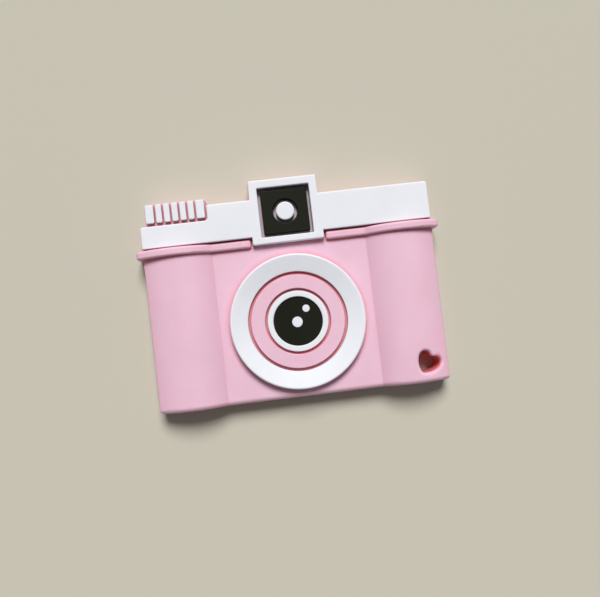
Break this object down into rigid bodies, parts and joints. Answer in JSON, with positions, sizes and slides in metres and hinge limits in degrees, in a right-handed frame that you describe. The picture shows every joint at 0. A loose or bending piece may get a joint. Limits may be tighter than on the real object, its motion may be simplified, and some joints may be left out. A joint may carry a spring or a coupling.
{
  "type": "camera-shaped silicone teether",
  "caption": "Soft silicone toy shaped like a simple old camera: flat back, two rounded grips, dished lens ring, viewfinder, ribbed knob and a small heart-shaped strap hole.",
  "frame": {"origin": "middle of the outline's box, on the flat back", "axes": "+X to the right seen from the front, along the toy's width; +Y towards the viewfinder; +Z out of the face, away from the flat back"},
  "size_m": [0.095, 0.0688, 0.0118],
  "materials": {
    "pink_silicone": "matte",
    "white_silicone": "matte",
    "black_silicone": "matte"
  },
  "bodies": {
    "root": {"body": "pink_silicone", "top_plate": "white_silicone", "lens_outer_ring": "white_silicone", "lens_inner_ring": "white_silicone", "lens_disc": "black_silicone", "lens_highlight_large": "white_silicone", "lens_highlight_small": "white_silicone", "viewfinder_pad": "black_silicone", "viewfinder_button": "white_silicone", "knob_rib_1": "white_silicone", "knob_rib_2": "white_silicone", "knob_rib_3": "white_silicone", "knob_rib_4": "white_silicone", "knob_rib_5": "white_silicone", "knob_rib_6": "white_silicone", "knob_rib_7": "white_silicone"}
  },
  "joints": []
}
